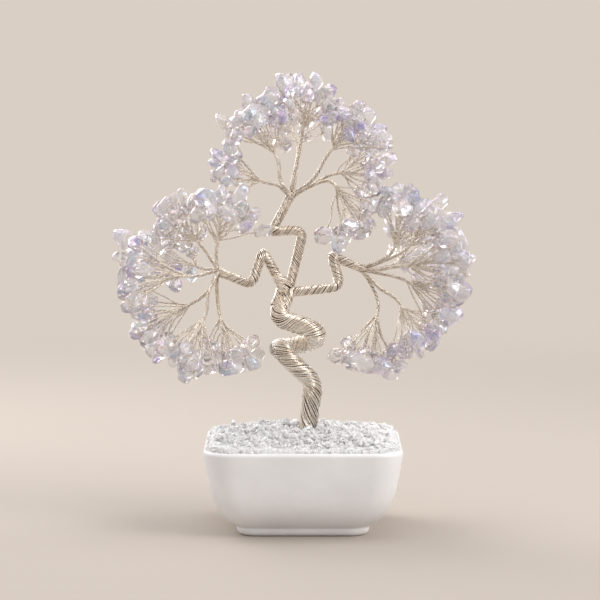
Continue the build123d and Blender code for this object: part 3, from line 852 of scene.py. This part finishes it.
def shown_rays(nodes, links):
    """One for the rays that show the backdrop: from the camera, off metal and through glass."""
    rays = nodes.new("ShaderNodeLightPath")
    shown = rays.outputs["Is Camera Ray"]
    for kind in ("Is Glossy Ray", "Is Transmission Ray"):
        either = nodes.new("ShaderNodeMath")
        either.operation = "MAXIMUM"
        links.new(shown, either.inputs[0])
        links.new(rays.outputs[kind], either.inputs[1])
        shown = either.outputs["Value"]
    return shown


floor_reach, floor_sides = 8.0, 64
floor_turns = np.linspace(0, 2 * math.pi, floor_sides, endpoint=False)
floor_verts = [(floor_reach * math.cos(a), floor_reach * math.sin(a), 0.0) for a in floor_turns]
floor_mat, nodes, links, shader = material("pale_floor")
shader.inputs["Base Color"].default_value = FLOOR
shader.inputs["Roughness"].default_value = 1.0
shader.inputs["Specular IOR Level"].default_value = 0.0
place = nodes.new("ShaderNodeTexCoord")
away = nodes.new("ShaderNodeVectorMath")
away.operation = "LENGTH"
links.new(place.outputs["Object"], away.inputs[0])
far = nodes.new("ShaderNodeMapRange")
far.interpolation_type = "SMOOTHSTEP"
far.inputs["From Min"].default_value = 0.25
far.inputs["From Max"].default_value = 0.85
links.new(away.outputs["Value"], far.inputs["Value"])
share = nodes.new("ShaderNodeMath")
share.operation = "MULTIPLY"
links.new(far.outputs["Result"], share.inputs[0])
links.new(shown_rays(nodes, links), share.inputs[1])
glow = nodes.new("ShaderNodeEmission")
glow.inputs["Color"].default_value = BACKDROP
mixed = nodes.new("ShaderNodeMixShader")
links.new(share.outputs["Value"], mixed.inputs["Fac"])
links.new(shader.outputs["BSDF"], mixed.inputs[1])
links.new(glow.outputs["Emission"], mixed.inputs[2])
links.new(mixed.outputs["Shader"], nodes["Material Output"].inputs["Surface"])
floor = new_object("floor", floor_verts, [list(range(floor_sides))], floor_mat)


def area_light(name, at, aim, size, power, colour=(1, 1, 1)):
    data = bpy.data.lights.new(name, "AREA")
    data.size = size
    data.energy = power
    data.color = colour
    lamp = bpy.data.objects.new(name, data)
    lamp.location = at
    lamp.rotation_euler = (Vector(aim) - Vector(at)).to_track_quat("-Z", "Y").to_euler()
    bpy.context.scene.collection.objects.link(lamp)


area_light("key", (0.92, -0.60, 0.75), (0, 0, 0.1), 0.7, 8.4, (1.0, 0.985, 0.965))
area_light("fill", (-0.9, -0.7, 0.5), (0, 0, 0.1), 0.7, 0.4)
area_light("top", (0.0, 0.1, 1.2), (0, 0, 0.1), 0.8, 3.3)
area_light("back", (-0.45, 0.55, 0.55), (0, 0, 0.12), 0.5, 3.8)
area_light("right_panel", (0.62, 0.12, 0.42), (0, 0, 0.12), 0.4, 1.0)
area_light("left_panel", (-0.62, 0.18, 0.42), (0, 0, 0.12), 0.4, 0.8)

world = bpy.data.worlds.new("studio")
bpy.context.scene.world = world
world.use_nodes = True
nodes, links = world.node_tree.nodes, world.node_tree.links
daylight = nodes["Background"]
daylight.inputs["Color"].default_value = (0.95, 0.96, 1.0, 1)
daylight.inputs["Strength"].default_value = 0.74
backdrop = nodes.new("ShaderNodeBackground")
backdrop.inputs["Color"].default_value = BACKDROP
mixed = nodes.new("ShaderNodeMixShader")
links.new(shown_rays(nodes, links), mixed.inputs["Fac"])
links.new(daylight.outputs["Background"], mixed.inputs[1])
links.new(backdrop.outputs["Background"], mixed.inputs[2])
links.new(mixed.outputs["Shader"], nodes["World Output"].inputs["Surface"])

camera = bpy.data.objects.new("camera", bpy.data.cameras.new("camera"))
camera.location = CAMERA_AT
camera.rotation_euler = (math.radians(90 - CAMERA_DOWN), 0, 0)
camera.data.sensor_width = SENSOR
camera.data.lens = FOCAL_PX / FRAME_PX * SENSOR
camera.data.clip_end = 20
bpy.context.scene.collection.objects.link(camera)
bpy.context.scene.camera = camera
bpy.context.scene.view_settings.view_transform = "Standard"
